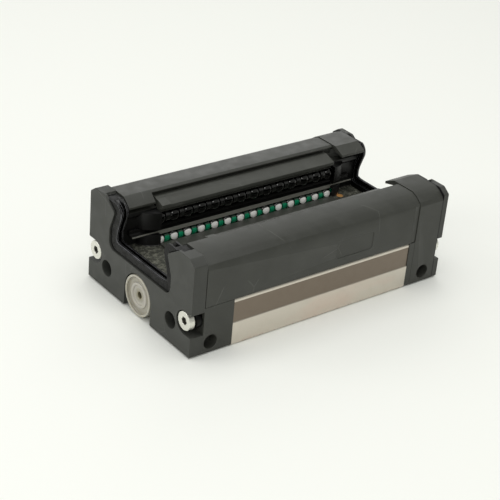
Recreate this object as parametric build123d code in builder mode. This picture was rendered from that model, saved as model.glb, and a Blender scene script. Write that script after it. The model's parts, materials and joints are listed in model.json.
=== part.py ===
from build123d import *
import os
from math import atan2, cos, degrees, pi, radians, sin, sqrt, tan

# Linear guide carriage, size 25, narrow and low, in millimetres.
# It lies on its ground mounting face with the rail channel up. X runs along the rail, from the
# front end at -X to the rear end at +X, and Y runs across. The origin is under its middle.
# Profiles are drawn looking along X, so a point is (distance across, height above the mounting face).

# Overall sizes
carriage_width = 48.0
plastic_top = 27.8
cap_lift = 0.45
seam = 0.05

# Lengths along the rail, from the front end to the rear end
front_plate_thickness = 4.0
front_cap_length = 9.2
saddle_length = 60.0
rear_cap_length = 10.7
rear_plate_thickness = 1.8

# Steel saddle
ground_band_height = 6.7
relief_depth = 0.2
relief_bevel = 0.5
shelf_height = 13.8
shelf_width = 2.4
leg_top = 25.1
leg_chamfer = 1.2
toe_inner = 12.7
toe_drop = 1.1
toe_outer = 14.2
flank_inner = 13.2
saddle_floor = 12.95
edge_break = 0.4

# Rail outline that the channel follows
void_floor = 13.6
void_side = 14.3
void_side_top = 19.3
waist_half = 12.2
waist_height = 24.7
mouth_half = 17.0
void_corner_radius = 2.4
void_shoulder_radius = 2.5
waist_radius = 0.9
mouth_radius = 0.8

# Ball circuits
ball_diameter = 3.97
ball_gap = 0.51
raceway_clearance = 0.065
passage_clearance = 0.33
turn_radius = 3.2
guide_clearance = 0.08
guide_seat = 0.8
load_row_offset = 11.9
lower_row_height = 13.95
upper_row_height = 20.4
first_ball = 0.55
tube_wall = 0.35
spacer_radius = 1.6
spacer_clearance = 0.01
spacer_web_fill = 0.8
load_contact_radius = 1.3
turn_contact_radius = 0.3
load_spacer_sides = 8
turn_spacer_sides = 5

# Ball retention in the channel
bar_lip = 10.6
bar_lip_rise = 1.85
bar_lip_slant = 0.15
bar_face_height = 0.95
bar_face = 12.3
bar_upper_lip = 11.3
bar_upper_drop = 2.05
bar_upper_height = 0.45
bar_front_gap = 1.0
bar_rear_gap = 2.7
bar_clearance = 0.28
retainer_half = 9.85
retainer_thickness = 0.65
retainer_bevel = 0.15

# Long seal strips
strip_tip = 9.5
strip_tip_low = 23.75
strip_tip_high = 24.65
strip_crest = 13.3
strip_top = 25.85
strip_outer = 14.5
strip_lip_clearance = 0.2
strip_lip_face = 10.8
strip_lip_drop = 0.33
strip_lip_root = 23.2
strip_rear_inset = 0.6
strip_pad_length = 2.9
strip_pad_rise = 0.2
strip_pad_outer = 12.2

# Side covers and the soft shoulder that the rear cap's band shares with them
cover_top = 27.6
cover_front_gap = 0.15
cover_rear_overlap = 2.0
shoulder_drop = 3.2
shoulder_low_inset = 0.45
shoulder_low_drop = 2.0
shoulder_high_inset = 2.1
shoulder_high_drop = 0.75
shoulder_top_inset = 3.8
cover_inner = 13.8
cover_bevel = 0.7
cover_bevel_drop = 0.45
cover_edge_thickness = 0.75
cover_roof_thickness = 0.9
cover_strip_gap = 0.2
cover_lip_tip = 11.6
cover_lip_tip_height = 25.3
cover_lip_thickness = 0.6
cover_lip_root = 26.1
cover_lip_length = 8.3
tongue_length = 1.6
tongue_depth = 0.2
panel_length = 12.8
panel_height = 5.2
panel_depth = 0.15
panel_low = 16.3
panel_radius = 0.9
panel_from_front = 46.0

# End caps
cap_rib_face = 12.0
cap_rib_top = 23.4
cap_rib_low = 22.3
cap_rib_slope = 1.2
roof_tip = 9.3
roof_tip_top = 26.2
roof_tip_low = 25.5
roof_flat = 12.6
roof_underside = 26.3
scoop_wall = 0.35
scoop_roof = 0.3
side_port_radius = 2.05
side_port_depth = 3.0
side_port_height = 3.4
front_port_from_end = 6.4
rear_port_from_end = 6.1
gallery_radius = 0.9
face_hole_radius = 2.3
face_hole_inset = 9.0
face_hole_height = 6.9
face_hole_depth = 4.0

# End plates
plate_corner_inset = 2.2
plate_corner_drop = 1.6
plate_corner_radius = 0.7
notch_inset = 3.0
notch_height = 9.3
notch_radius = 3.3

# Wiper seals
seal_skin = 0.8
seal_flange_growth = 1.0
seal_edge_gap = 0.15
seal_face_inset = 0.9
seal_lip_inset = 2.3
seal_front = 0.45
lip_thickness = 0.55
second_lip_from_face = 2.5
seal_top_margin = 0.6

# Grease plugs
plug_centre_height = 6.1
plug_radius = 5.8
plug_gap = 0.3
plug_rim_width = 0.7
plug_recess = 0.7
plug_ring_radius = 3.6
plug_ring_width = 0.9
plug_ring_step = 0.35
plug_stem_radius = 3.0
plug_stem_length = 4.5
plug_hole_radius = 0.9
plug_hole_depth = 3.2

# Fasteners
screw_diameter = 3.0
screw_clearance = 0.05
screw_hole_clearance = 0.15
screw_length = 20.0
screw_inset = 3.2
screw_height = 9.7
screw_head_radius = 2.6
screw_head_height = 1.6
screw_head_inset = 0.1
socket_width = 2.0
socket_depth = 1.1
collar_radius = 2.7
collar_neck_radius = 2.15
collar_neck_length = 0.5
tap_runout = 0.6
bolt_spacing_along = 35.0
bolt_side_distance = 6.5
bolt_diameter = 6.0
bolt_tap_diameter = 5.0
bolt_mouth_clearance = 0.25
bolt_depth = 8.5
drill_tip_angle = 118.0

# Values that follow from the sizes above
carriage_length = (front_plate_thickness + front_cap_length + saddle_length
                   + rear_cap_length + rear_plate_thickness)
front_end = -carriage_length / 2
rear_end = carriage_length / 2
front_cap_start = front_end + front_plate_thickness
saddle_start = front_cap_start + front_cap_length
saddle_end = saddle_start + saddle_length
saddle_middle = (saddle_start + saddle_end) / 2
rear_cap_end = saddle_end + rear_cap_length
band_start = saddle_end + cover_rear_overlap
half_width = carriage_width / 2
leg_outer = half_width - shelf_width
toe_height = leg_top - toe_drop
sides = {"near": -1, "far": 1}

# Ball circuits: each loop runs up one side of a turn guide and back down the other
ball_radius = ball_diameter / 2
ball_pitch = ball_diameter + ball_gap
raceway_radius = ball_radius + raceway_clearance
ball_passage = ball_diameter + passage_clearance
tube_outer_radius = ball_passage / 2 + tube_wall
turn_length = pi * turn_radius
turn_centre = load_row_offset + turn_radius
return_row_offset = turn_centre + turn_radius
circuit_length = 2 * (saddle_length + turn_length)
balls_per_circuit = int(circuit_length / ball_pitch)
half_step = ball_pitch / turn_radius / 2
turn_ball_distance = 2 * turn_radius * sin(half_step)
guide_radius = turn_radius * cos(half_step) - spacer_radius - guide_clearance
row_heights = {"lower": lower_row_height, "upper": upper_row_height}
guide_low = lower_row_height - ball_passage / 2 - guide_seat
guide_high = upper_row_height + ball_passage / 2 + guide_seat
scoop_radius = turn_radius + ball_passage / 2 + scoop_wall
scoop_half_height = ball_passage / 2 + scoop_roof
strip_lip_low = upper_row_height + ball_radius + strip_lip_clearance

# Seats of the fasteners and the plugs
screw_offset = half_width - screw_inset
notch_centre = half_width - notch_inset
face_hole_offset = half_width - face_hole_inset
bolt_spacing_across = carriage_width - 2 * bolt_side_distance
screw_spots = [(-screw_offset, screw_height), (screw_offset, screw_height)]
collar_length = front_plate_thickness - screw_head_height - screw_head_inset
plug_notch_radius = plug_radius + plug_gap
void_top = plastic_top + seal_lip_inset + seal_flange_growth


def half_section(points):
    """Closes one half of a profile over its middle line and mirrors it."""
    with BuildSketch() as half:
        with BuildLine():
            Polyline(*points, close=True)
        make_face()
        mirror(about=Plane.YZ)
    return half.sketch


def one_side(points, side):
    """Closed profile on one side of the middle line only."""
    with BuildSketch() as outline:
        with BuildLine():
            Polyline(*[(side * across, up) for across, up in points], close=True)
        make_face()
    return outline.sketch


def channel_void(growth):
    """The rail channel's opening, grown outwards by the given amount."""
    with BuildSketch() as void:
        with BuildLine():
            FilletPolyline(
                (0, void_floor),
                (void_side, void_floor),
                (void_side, void_side_top),
                (waist_half, waist_height),
                (mouth_half, plastic_top),
                (mouth_half, void_top),
                radius=[void_corner_radius, void_shoulder_radius, waist_radius, mouth_radius],
            )
            Polyline((mouth_half, void_top), (0, void_top), (0, void_floor))
        make_face()
        mirror(about=Plane.YZ)
    if growth == 0:
        return void.sketch
    with BuildSketch() as grown:
        offset(void.sketch, amount=growth, kind=Kind.INTERSECTION)
    return grown.sketch


def end_outline():
    """Outer outline of an end plate: full width, with soft shoulders at the leg tops."""
    with BuildSketch() as outline:
        with BuildLine():
            FilletPolyline(
                (0, cap_lift),
                (half_width, cap_lift),
                (half_width, plastic_top - plate_corner_drop),
                (half_width - plate_corner_inset, plastic_top),
                (0, plastic_top),
                radius=[0, plate_corner_radius, plate_corner_radius],
            )
            Line((0, plastic_top), (0, cap_lift))
        make_face()
        mirror(about=Plane.YZ)
    return outline.sketch


def cover_outer(top):
    """Points of the soft outer shoulder that the covers and the rear cap's band share."""
    return [
        (half_width, top - shoulder_drop),
        (half_width - shoulder_low_inset, top - shoulder_low_drop),
        (half_width - shoulder_high_inset, top - shoulder_high_drop),
        (half_width - shoulder_top_inset, top),
    ]


def at(x):
    """Plane across the rail at a place along it, facing the rear."""
    return Plane.YZ.offset(x)


# Steel saddle block
with BuildPart() as saddle_block:
    with BuildSketch(at(saddle_start)):
        add(half_section([
            (0, 0),
            (half_width, 0),
            (half_width, ground_band_height),
            (half_width - relief_depth, ground_band_height + relief_depth),
            (half_width - relief_depth, shelf_height - relief_bevel),
            (half_width - relief_depth - relief_bevel, shelf_height),
            (leg_outer, shelf_height),
            (leg_outer, leg_top - leg_chamfer),
            (leg_outer - leg_chamfer, leg_top),
            (toe_outer, leg_top),
            (toe_inner, toe_height),
            (toe_inner, upper_row_height),
            (flank_inner, upper_row_height),
            (flank_inner, saddle_floor),
            (0, saddle_floor),
        ]))
    extrude(amount=saddle_length)
    bottom_edges = saddle_block.edges().filter_by(Axis.X).group_by(Axis.Z)[0]
    chamfer(bottom_edges, edge_break)
    rows = [(side * load_row_offset, up) for side in sides.values() for up in row_heights.values()]
    returns = [(side * return_row_offset, up) for side in sides.values() for up in row_heights.values()]
    with BuildSketch(at(saddle_start)):
        with Locations(*rows):
            Circle(raceway_radius)
        with Locations(*returns):
            Circle(tube_outer_radius)
    extrude(amount=saddle_length, mode=Mode.SUBTRACT)
    for face_x, inward, passed in (
        (saddle_start, 1, front_cap_length + collar_length),
        (saddle_end, -1, rear_cap_length),
    ):
        with BuildSketch(at(face_x)):
            with Locations(*screw_spots):
                Circle(screw_diameter / 2 + screw_clearance)
        extrude(amount=inward * (screw_length - passed + tap_runout), mode=Mode.SUBTRACT)
    tip_height = bolt_tap_diameter / 2 / tan(radians(drill_tip_angle / 2))
    with Locations(Plane(origin=(saddle_middle, 0, 0), z_dir=(0, 0, -1))):
        with GridLocations(bolt_spacing_along, bolt_spacing_across, 2, 2):
            CounterSinkHole(bolt_tap_diameter / 2, bolt_diameter / 2 + bolt_mouth_clearance, depth=bolt_depth)
            with Locations((0, 0, -bolt_depth)):
                Cone(0, bolt_tap_diameter / 2, tip_height,
                     align=(Align.CENTER, Align.CENTER, Align.MAX), mode=Mode.SUBTRACT)

# Plastic tubes that line the return bores
return_tubes = {}
for side_name, side in sides.items():
    for row_name, row_height in row_heights.items():
        with BuildPart() as return_tube:
            with BuildSketch(at(saddle_start)):
                with Locations((side * return_row_offset, row_height)):
                    Circle(tube_outer_radius - seam)
                    Circle(ball_passage / 2, mode=Mode.SUBTRACT)
            extrude(amount=saddle_length)
        return_tubes[f"return_tube_{side_name}_{row_name}"] = return_tube.part


def cap_leg_points(low):
    """Half profile of a cap where a cover lies over its leg, with the seal strip's rest cut back."""
    return [
        (0, low),
        (half_width - seam, low),
        (half_width - seam, shelf_height - seam),
        (leg_outer, shelf_height - seam),
        (leg_outer, leg_top - leg_chamfer),
        (leg_outer - leg_chamfer, leg_top),
        (strip_outer + seam, leg_top),
        (strip_outer + seam, cap_rib_top),
        (cap_rib_face, cap_rib_top),
        (cap_rib_face, cap_rib_low),
        (flank_inner, cap_rib_low - cap_rib_slope),
        (flank_inner, saddle_floor),
        (0, saddle_floor),
    ]


def band_points(low):
    """Half profile of the rear cap's band, with the thin roof that reaches in over the channel."""
    return [
        (0, low),
        (half_width, low),
        *cover_outer(plastic_top),
        (roof_flat, plastic_top),
        (roof_tip, roof_tip_top),
        (roof_tip, roof_tip_low),
        (roof_flat, roof_underside),
        (strip_outer + seam, roof_underside),
        (strip_outer + seam, cap_rib_top),
        (cap_rib_face, cap_rib_top),
        (cap_rib_face, cap_rib_low),
        (flank_inner, cap_rib_low - cap_rib_slope),
        (flank_inner, saddle_floor),
        (0, saddle_floor),
    ]


def build_end_cap(saddle_face, outward, cap_length, port_x, has_band):
    """End cap with its ball turns, screw holes, plug bore, blind face holes and grease gallery."""
    outer_face = saddle_face + outward * cap_length
    leg_length = cover_rear_overlap if has_band else cap_length
    with BuildPart() as cap:
        with BuildSketch(at(saddle_face)):
            add(half_section(cap_leg_points(cap_lift)))
        extrude(amount=outward * leg_length)
        if has_band:
            with BuildSketch(at(saddle_face + outward * leg_length)):
                add(half_section(band_points(cap_lift)))
            extrude(amount=outward * (cap_length - leg_length))
        # Scoops that close the turns towards the channel, then the half-round passages for the balls
        # and the seats of the turn guides between them
        for side in sides.values():
            for row_height in row_heights.values():
                with BuildSketch(Plane.XY.offset(row_height - scoop_half_height)):
                    with Locations((saddle_face, side * turn_centre)):
                        Circle(scoop_radius)
                    with Locations((saddle_face - outward * scoop_radius, side * turn_centre)):
                        Rectangle(2 * scoop_radius, 2 * scoop_radius, mode=Mode.SUBTRACT)
                    with Locations((saddle_face, side * (turn_centre + scoop_radius))):
                        Rectangle(4 * scoop_radius, 2 * scoop_radius, mode=Mode.SUBTRACT)
                extrude(amount=2 * scoop_half_height)
                with BuildSketch(Plane.XY.offset(row_height - ball_passage / 2)):
                    with Locations((saddle_face, side * turn_centre)):
                        Circle(turn_radius + ball_passage / 2)
                extrude(amount=ball_passage, mode=Mode.SUBTRACT)
            with BuildSketch(Plane.XY.offset(guide_low)):
                with Locations((saddle_face, side * turn_centre)):
                    Circle(guide_radius + seam)
            extrude(amount=guide_high - guide_low, mode=Mode.SUBTRACT)
        with BuildSketch(at(outer_face)):
            with Locations(*screw_spots):
                Circle(screw_diameter / 2 + screw_hole_clearance)
        extrude(amount=-outward * cap_length, mode=Mode.SUBTRACT)
        with BuildSketch(at(outer_face)):
            with Locations((0, plug_centre_height)):
                Circle(plug_stem_radius + seam)
        extrude(amount=-outward * (plug_stem_length + seam), mode=Mode.SUBTRACT)
        with BuildSketch(at(outer_face)):
            with Locations((-face_hole_offset, face_hole_height), (face_hole_offset, face_hole_height)):
                Circle(face_hole_radius)
        extrude(amount=-outward * face_hole_depth, mode=Mode.SUBTRACT)
        # Grease ports in both sides, joined to the plug's bore by one gallery
        for side in sides.values():
            with BuildSketch(Plane.XZ.offset(-side * half_width)):
                with Locations((port_x, side_port_height)):
                    Circle(side_port_radius)
            extrude(amount=side * side_port_depth, mode=Mode.SUBTRACT)
        with BuildSketch(Plane.XZ.offset(-half_width)):
            with Locations((port_x, side_port_height)):
                Circle(gallery_radius)
        extrude(amount=carriage_width, mode=Mode.SUBTRACT)
    return cap.part


# The front cap lies under the fronts of the side covers, the rear cap's band stands behind them
front_end_cap = build_end_cap(saddle_start, -1, front_cap_length, front_end + front_port_from_end, False)
rear_end_cap = build_end_cap(saddle_end, 1, rear_cap_length, rear_end - rear_port_from_end, True)

# Turn guides: half-round posts on the saddle's end faces
turn_guides = {}
for end_name, face_x, outward in (("front", saddle_start, -1), ("rear", saddle_end, 1)):
    for side_name, side in sides.items():
        with BuildPart() as turn_guide:
            with BuildSketch(Plane.XY.offset(guide_low + seam)):
                with Locations((face_x, side * turn_centre)):
                    Circle(guide_radius)
                with Locations((face_x - outward * guide_radius, side * turn_centre)):
                    Rectangle(2 * guide_radius, 2 * guide_radius, mode=Mode.SUBTRACT)
            extrude(amount=guide_high - guide_low - 2 * seam)
        turn_guides[f"{end_name}_turn_guide_{side_name}"] = turn_guide.part


def end_plate_face(growth):
    """Face of an end plate, with its channel grown by the given amount."""
    with BuildSketch() as face:
        add(end_outline())
        add(channel_void(growth), mode=Mode.SUBTRACT)
        for side in sides.values():
            with Locations((side * notch_centre, notch_height)):
                Circle(notch_radius, mode=Mode.SUBTRACT)
            with Locations((side * (notch_centre + notch_radius), notch_height)):
                Rectangle(2 * notch_radius, 2 * notch_radius, mode=Mode.SUBTRACT)
            with Locations((side * face_hole_offset, face_hole_height)):
                Circle(face_hole_radius, mode=Mode.SUBTRACT)
        with Locations((0, plug_centre_height)):
            Circle(plug_notch_radius, mode=Mode.SUBTRACT)
        with Locations((0, plug_centre_height - plug_notch_radius)):
            Rectangle(2 * plug_notch_radius, 2 * plug_notch_radius, mode=Mode.SUBTRACT)
    return face.sketch


def build_end_plate(end_x, inward, thickness):
    """End plate: a thin skin outside, cut back behind it for the seal's flange."""
    with BuildPart() as plate:
        with BuildSketch(at(end_x)):
            add(end_plate_face(0))
        extrude(amount=inward * seal_skin)
        with BuildSketch(at(end_x + inward * seal_skin)):
            add(end_plate_face(seal_flange_growth + seam))
        extrude(amount=inward * (thickness - seal_skin))
    return plate.part


front_end_plate = build_end_plate(front_end, 1, front_plate_thickness)
rear_end_plate = build_end_plate(rear_end, -1, rear_plate_thickness)


def seal_ring(outer, inner):
    """Closed-in ring between two sizes of the channel's outline, below the leg tops."""
    with BuildSketch() as ring:
        add(channel_void(outer))
        add(channel_void(-inner), mode=Mode.SUBTRACT)
        with Locations((0, plastic_top - seal_top_margin)):
            Rectangle(carriage_width, void_top, align=(Align.CENTER, Align.MIN), mode=Mode.SUBTRACT)
    return ring.sketch


def build_wiper_seal(end_x, inward, thickness, lip_places):
    """Rubber wiper with a flange behind the plate's skin and lips that reach to the rail."""
    with BuildPart() as seal:
        with BuildSketch(at(end_x + inward * (seal_skin + seam))):
            add(seal_ring(seal_flange_growth, seal_face_inset))
        extrude(amount=inward * (thickness - seal_skin - seam))
        with BuildSketch(at(end_x + inward * seal_front)):
            add(seal_ring(-seal_edge_gap, seal_face_inset))
        extrude(amount=inward * (seal_skin + seam - seal_front))
        for lip_place in lip_places:
            with BuildSketch(at(end_x + inward * lip_place)):
                add(seal_ring(-seal_edge_gap, seal_lip_inset))
            extrude(amount=inward * lip_thickness)
    return seal.part


front_wiper_seal = build_wiper_seal(front_end, 1, front_plate_thickness, (seal_front, second_lip_from_face))
rear_wiper_seal = build_wiper_seal(rear_end, -1, rear_plate_thickness, (seal_front,))

# Side covers, with a slot left open along the seal strip
side_covers = {}
for side_name, side in sides.items():
    cover_start = front_cap_start + cover_front_gap
    with BuildPart() as side_cover:
        with BuildSketch(at(cover_start)):
            add(one_side([
                (half_width, shelf_height + seam),
                *cover_outer(cover_top),
                (cover_inner + cover_bevel, cover_top),
                (cover_inner, cover_top - cover_bevel_drop),
                (cover_inner, cover_top - cover_edge_thickness),
                (strip_outer + cover_strip_gap, cover_top - cover_roof_thickness),
                (strip_outer + cover_strip_gap, leg_top + seam),
                (leg_outer - leg_chamfer, leg_top + seam),
                (leg_outer + seam, leg_top - leg_chamfer),
                (leg_outer + seam, shelf_height + seam),
            ], side))
        extrude(amount=band_start - seam - cover_start)
        with BuildSketch(at(cover_start)):
            add(one_side([
                (cover_inner + cover_bevel, cover_top),
                (cover_inner, cover_top - cover_bevel_drop),
                (cover_lip_tip, cover_lip_tip_height),
                (cover_lip_tip, cover_lip_tip_height - cover_lip_thickness),
                (cover_inner + cover_bevel, cover_lip_root),
            ], side))
        extrude(amount=cover_lip_length)
        with BuildSketch(Plane.XZ.offset(-side * half_width)):
            with Locations((band_start - seam - tongue_length / 2, (cover_top + shelf_height) / 2)):
                Rectangle(tongue_length, cover_top)
        extrude(amount=side * tongue_depth, mode=Mode.SUBTRACT)
        with BuildSketch(Plane.XZ.offset(-side * half_width)):
            panel_x = front_end + panel_from_front + panel_length / 2
            with Locations((panel_x, panel_low + panel_height / 2)):
                RectangleRounded(panel_length, panel_height, panel_radius)
        extrude(amount=side * panel_depth, mode=Mode.SUBTRACT)
    side_covers[f"side_cover_{side_name}"] = side_cover.part

# Long seal strips on the leg tops, whose lower lip keeps the upper ball row in
seal_strips = {}
for side_name, side in sides.items():
    with BuildPart() as seal_strip:
        with BuildSketch(at(saddle_start)):
            add(one_side([
                (strip_tip, strip_tip_low),
                (strip_tip, strip_tip_high),
                (strip_crest, strip_top),
                (strip_outer, strip_top),
                (strip_outer, leg_top + seam),
                (toe_outer, leg_top + seam),
                (toe_inner - seam, toe_height + seam),
                (toe_inner - seam, strip_lip_low),
                (load_row_offset, strip_lip_low),
                (strip_lip_face, strip_lip_low - strip_lip_drop),
                (strip_lip_face, strip_lip_root),
            ], side))
        extrude(amount=saddle_length - strip_rear_inset)
        # A low pad on the front end of the strip
        pad_slope = (strip_top - strip_tip_high) / (strip_crest - strip_tip)
        pad_root = strip_tip_high + pad_slope * (strip_pad_outer - strip_tip)
        with BuildSketch(at(saddle_start)):
            add(one_side([
                (strip_tip, strip_tip_high),
                (strip_tip, strip_tip_high + strip_pad_rise),
                (strip_pad_outer, pad_root + strip_pad_rise),
                (strip_pad_outer, pad_root),
            ], side))
        extrude(amount=strip_pad_length)
    seal_strips[f"seal_strip_{side_name}"] = seal_strip.part

# Retainer bars between the two ball rows of each leg, with a lip towards each row. Beyond the
# saddle's ends they are cut down to a tail that runs between the scoops of the caps
retainer_bars = {}
for side_name, side in sides.items():
    with BuildPart() as retainer_bar:
        bar_start = front_cap_start + bar_front_gap
        bar_end = rear_cap_end - bar_rear_gap
        root = flank_inner - seam
        root_reach = sqrt(ball_radius**2 - (root - load_row_offset) ** 2)
        with BuildSketch(at(bar_start)):
            add(one_side([
                (root, lower_row_height + root_reach + bar_clearance),
                (load_row_offset, lower_row_height + ball_radius + bar_clearance),
                (bar_lip, lower_row_height + bar_lip_rise),
                (bar_lip + bar_lip_slant, lower_row_height + bar_lip_rise + bar_face_height),
                (bar_face, lower_row_height + bar_lip_rise + bar_face_height + bar_lip_slant),
                (bar_face, upper_row_height - bar_upper_drop - bar_upper_height),
                (bar_upper_lip, upper_row_height - bar_upper_drop),
                (load_row_offset, upper_row_height - ball_radius - bar_clearance),
                (root, upper_row_height - root_reach - bar_clearance),
            ], side))
        extrude(amount=bar_end - bar_start)
        tail_low = lower_row_height + scoop_half_height + seam
        tail_high = upper_row_height - scoop_half_height - seam
        for tail_end, inward in ((saddle_start + seam, -1), (saddle_end - seam, 1)):
            for edge, away in ((tail_low, Align.MAX), (tail_high, Align.MIN)):
                with Locations((tail_end, side * bar_face, edge)):
                    Box(carriage_length, half_width, leg_top,
                        align=(Align.MIN if inward > 0 else Align.MAX, Align.CENTER, away), mode=Mode.SUBTRACT)
    retainer_bars[f"retainer_bar_{side_name}"] = retainer_bar.part

# Floor retainer between the two lower rows
with BuildPart() as floor_retainer:
    with BuildSketch(at(saddle_start)):
        add(half_section([
            (0, saddle_floor),
            (retainer_half, saddle_floor),
            (retainer_half, saddle_floor + retainer_thickness - retainer_bevel),
            (retainer_half - retainer_bevel, saddle_floor + retainer_thickness),
            (0, saddle_floor + retainer_thickness),
        ]))
    extrude(amount=saddle_length)


def chain_place(travel):
    """Point of a ball's path, from the distance it has travelled: load row, turn, return row, turn."""
    if travel <= saddle_length:
        return saddle_start + travel, load_row_offset
    travel -= saddle_length
    if travel <= turn_length:
        angle = travel / turn_radius
        return saddle_end + turn_radius * sin(angle), turn_centre - turn_radius * cos(angle)
    travel -= turn_length
    if travel <= saddle_length:
        return saddle_end - travel, return_row_offset
    angle = (travel - saddle_length) / turn_radius
    return saddle_start - turn_radius * sin(angle), turn_centre + turn_radius * cos(angle)


def load_ball_solid():
    """A ball of 26 flat faces with its corners on the true ball, because there are so many."""
    facet = ball_diameter / sqrt(5 + 2 * sqrt(2))
    box_side = facet * (1 + sqrt(2))
    with BuildPart() as ball:
        Box(box_side, box_side, box_side)
        chamfer(ball.edges(), facet / sqrt(2))
    return ball.part


def hidden_ball_solid():
    """A ball of 14 flat faces for the closed half of a circuit."""
    reach = ball_radius / sqrt(2)
    pairs = [(reach * one, reach * other) for one in (-1, 1) for other in (-1, 1)]
    corners = [(one, other, 0) for one, other in pairs]
    corners += [(one, 0, other) for one, other in pairs]
    corners += [(0, one, other) for one, other in pairs]
    with BuildPart() as ball:
        ConvexPolyhedron(corners)
    return ball.part


def spacer_solid(ball_distance, contact_radius, corner_count):
    """A disc between two balls, hollowed on both sides so that it nears each ball on one circle."""
    contact_reach = sqrt((ball_radius + spacer_clearance) ** 2 - contact_radius**2)
    contact_half = ball_distance / 2 - contact_reach
    slope = contact_radius / contact_reach
    flat_share = cos(pi / corner_count)
    web_half = (ball_distance / 2 - ball_radius) * spacer_web_fill
    web_radius = (contact_radius - (contact_half - web_half) / slope) / flat_share
    rim_half = contact_half + slope * (spacer_radius * flat_share - contact_radius)
    corner_angles = [2 * pi / corner_count * corner for corner in range(corner_count)]
    with BuildPart() as spacer:
        with BuildSketch(Plane.YZ.offset(-rim_half)):
            RegularPolygon(spacer_radius, corner_count)
        extrude(amount=2 * rim_half)
        for end in (-1, 1):
            cup = [
                (end * depth, radius * cos(angle), radius * sin(angle))
                for depth, radius in ((rim_half, spacer_radius), (web_half, web_radius))
                for angle in corner_angles
            ]
            ConvexPolyhedron(cup, mode=Mode.SUBTRACT)
    return spacer.part


load_ball = load_ball_solid()
hidden_ball = hidden_ball_solid()
load_spacer = spacer_solid(ball_pitch, load_contact_radius, load_spacer_sides)
turn_spacer = spacer_solid(turn_ball_distance, turn_contact_radius, turn_spacer_sides)

# Ball circuits: the balls of each whole loop, and after each ball a spacer half way to the next.
# The chain's play lies in the return row, so the count starts a quarter of the loop early.
ball_circuits = {}
balls_before_load = balls_per_circuit // 4
steps = range(-balls_before_load, balls_per_circuit - balls_before_load)
chain = [chain_place((first_ball + step * ball_pitch) % circuit_length) for step in steps]
for side_name, side in sides.items():
    for row_name, row_height in row_heights.items():
        load_balls = []
        hidden_balls = []
        load_spacers = []
        hidden_spacers = []
        for here, ahead in zip(chain, chain[1:] + chain[:1]):
            ball_place = Location((here[0], side * here[1], row_height))
            heading = degrees(atan2(side * (ahead[1] - here[1]), ahead[0] - here[0]))
            middle = ((here[0] + ahead[0]) / 2, side * (here[1] + ahead[1]) / 2, row_height)
            in_load_row = here[1] == load_row_offset
            (load_balls if in_load_row else hidden_balls).append(ball_place)
            in_load_row = in_load_row and ahead[1] == load_row_offset
            (load_spacers if in_load_row else hidden_spacers).append(Location(middle, (0, 0, heading)))
        with BuildPart() as balls:
            with Locations(*load_balls):
                add(load_ball)
            with Locations(*hidden_balls):
                add(hidden_ball)
        with BuildPart() as spacers:
            with Locations(*load_spacers):
                add(load_spacer)
            with Locations(*hidden_spacers):
                add(turn_spacer)
        ball_circuits[f"balls_{side_name}_{row_name}"] = balls.part
        ball_circuits[f"spacers_{side_name}_{row_name}"] = spacers.part


def build_grease_plug(end_x, inward, plate_thickness):
    """Grease plug: a stepped disc in the end plate's notch and a stem in the cap."""
    with BuildPart() as plug:
        with BuildSketch(at(end_x + inward * plug_recess)):
            with Locations((0, plug_centre_height)):
                Circle(plug_radius)
        extrude(amount=inward * (plate_thickness - plug_recess))
        with BuildSketch(at(end_x)):
            with Locations((0, plug_centre_height)):
                Circle(plug_radius)
                Circle(plug_radius - plug_rim_width, mode=Mode.SUBTRACT)
        extrude(amount=inward * plug_recess)
        with BuildSketch(at(end_x + inward * (plug_recess - plug_ring_step))):
            with Locations((0, plug_centre_height)):
                Circle(plug_ring_radius)
                Circle(plug_ring_radius - plug_ring_width, mode=Mode.SUBTRACT)
        extrude(amount=inward * plug_ring_step)
        with BuildSketch(at(end_x + inward * plate_thickness)):
            with Locations((0, plug_centre_height)):
                Circle(plug_stem_radius)
        extrude(amount=inward * plug_stem_length)
        with BuildSketch(at(end_x)):
            with Locations((0, plug_centre_height)):
                Circle(plug_hole_radius)
        extrude(amount=inward * plug_hole_depth, mode=Mode.SUBTRACT)
    return plug.part


front_grease_plug = build_grease_plug(front_end, 1, front_plate_thickness)
rear_grease_plug = build_grease_plug(rear_end, -1, rear_plate_thickness)


# Four end screws. The front heads stand on collars in the thick plate, the rear heads on the cap
with BuildPart() as end_screws:
    for head_seat, inward in ((front_cap_start - collar_length, 1), (rear_cap_end, -1)):
        with BuildSketch(at(head_seat - inward * screw_head_height)):
            with Locations(*screw_spots):
                Circle(screw_head_radius)
        extrude(amount=inward * screw_head_height)
        with BuildSketch(at(head_seat)):
            with Locations(*screw_spots):
                Circle(screw_diameter / 2)
        extrude(amount=inward * screw_length)
        with BuildSketch(at(head_seat - inward * screw_head_height)):
            with Locations(*screw_spots):
                RegularPolygon(socket_width / 2, 6, major_radius=False)
        extrude(amount=inward * socket_depth, mode=Mode.SUBTRACT)

# Bright collars between the front screw heads and the cap, with a narrower neck under each head
with BuildPart() as screw_collars:
    with BuildSketch(at(front_cap_start)):
        with Locations(*screw_spots):
            Circle(collar_radius)
    extrude(amount=collar_neck_length - collar_length)
    with BuildSketch(at(front_cap_start - collar_length)):
        with Locations(*screw_spots):
            Circle(collar_neck_radius)
    extrude(amount=collar_neck_length)
    with BuildSketch(at(front_cap_start)):
        with Locations(*screw_spots):
            Circle(screw_diameter / 2 + screw_clearance)
    extrude(amount=-collar_length, mode=Mode.SUBTRACT)

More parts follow.
